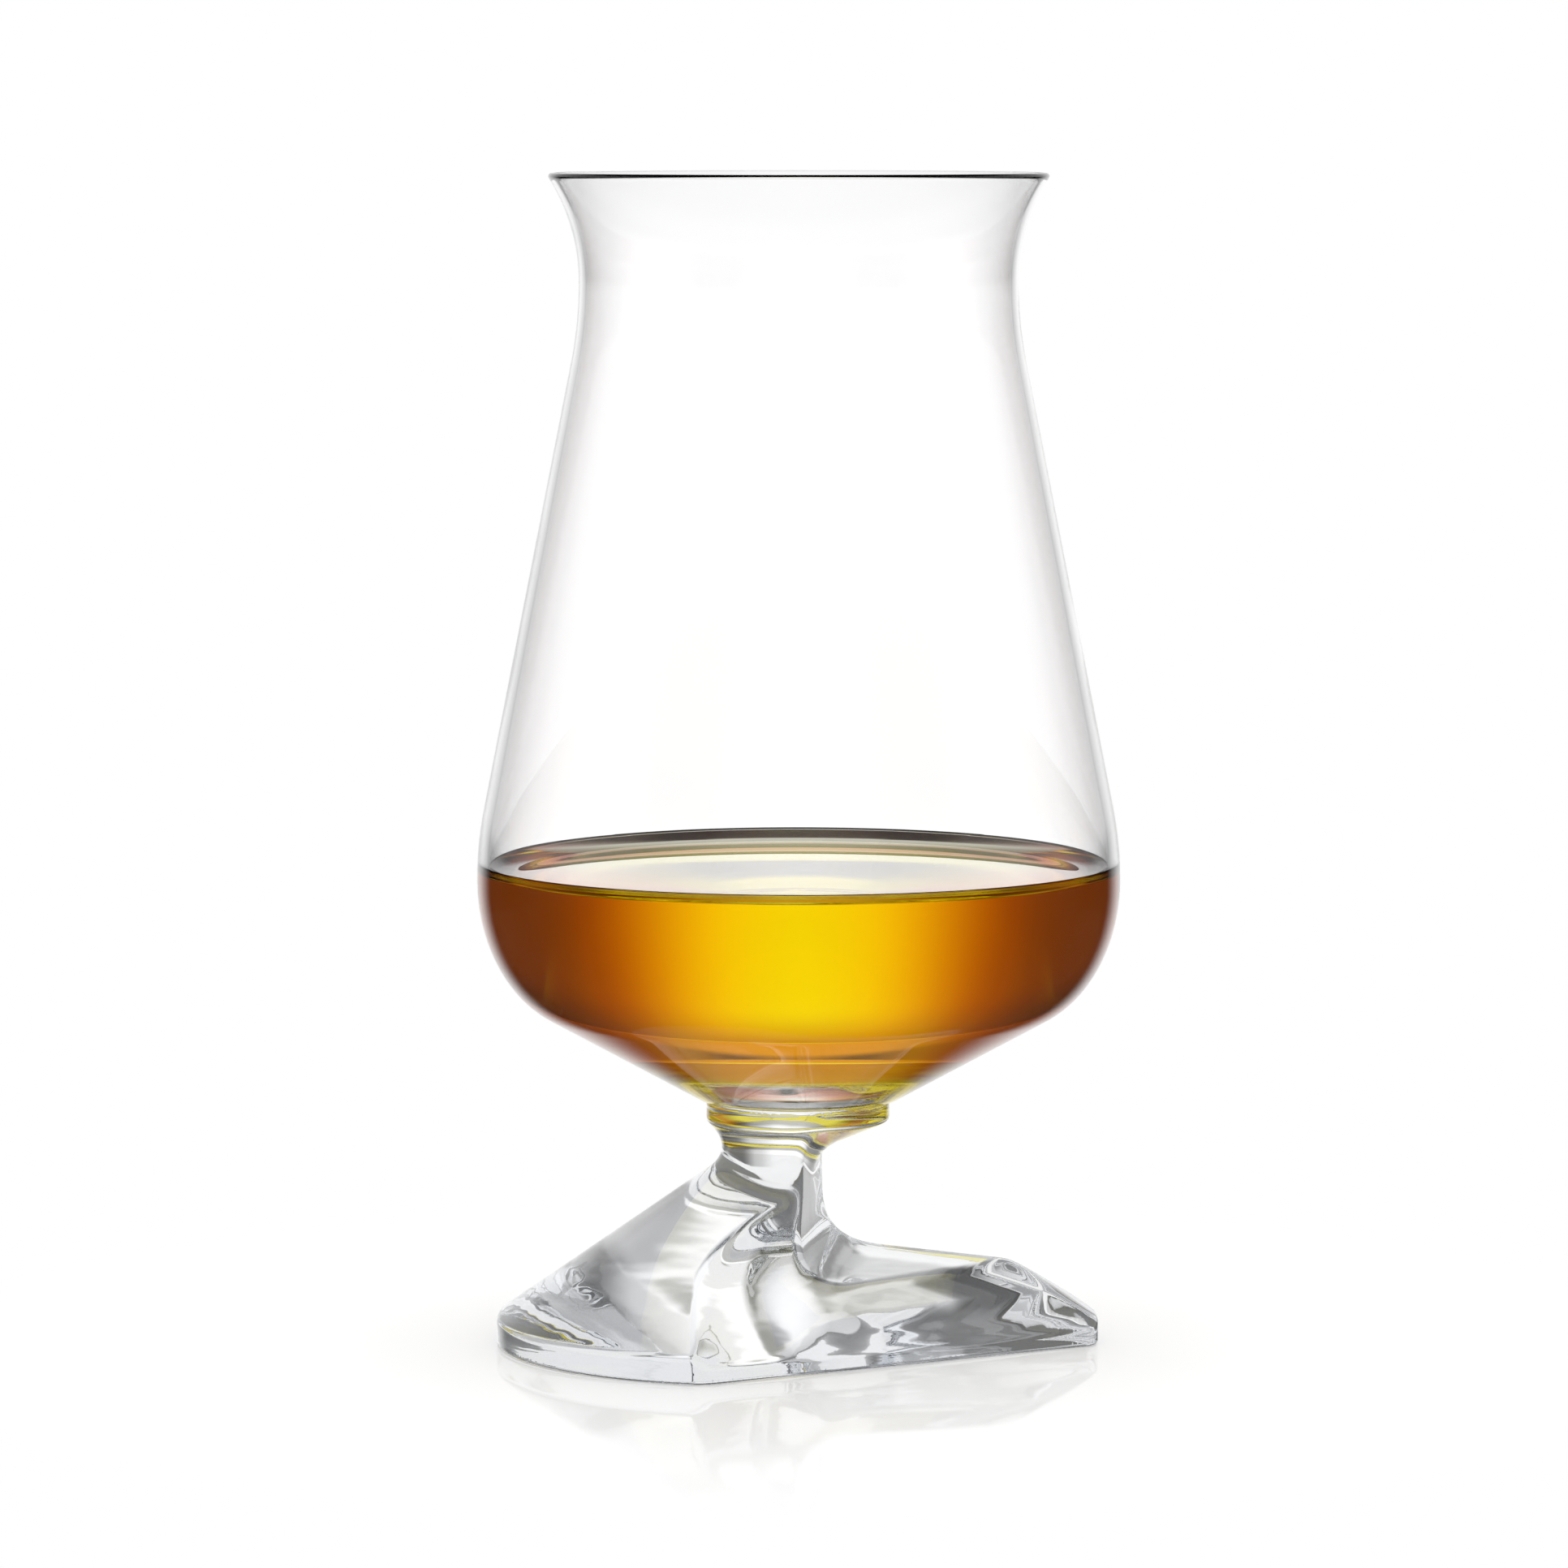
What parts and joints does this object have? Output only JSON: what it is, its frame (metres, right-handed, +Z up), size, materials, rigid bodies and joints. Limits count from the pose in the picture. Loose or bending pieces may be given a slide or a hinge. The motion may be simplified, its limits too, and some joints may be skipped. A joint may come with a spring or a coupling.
{
  "type": "whisky glass",
  "caption": "Whisky nosing glass: a thin tapered bowl with a flared rim, fused to a faceted crystal foot with a thumb shelf, holding a pour of whisky.",
  "frame": {"origin": "on the axis of the bowl, at the surface the glass stands on", "axes": "+Z up along the axis of the bowl, +X towards the toe of the foot, -Y the side the glass is looked at from"},
  "size_m": [0.0702, 0.0702, 0.1278],
  "materials": {
    "foot_crystal": "clear pressed crystal, polished",
    "bowl_crystal": "clear blown crystal, fire-polished",
    "whisky": "clear amber liquid"
  },
  "bodies": {
    "root": {"foot": "foot_crystal", "bowl": "bowl_crystal", "whisky": "whisky"}
  },
  "joints": []
}
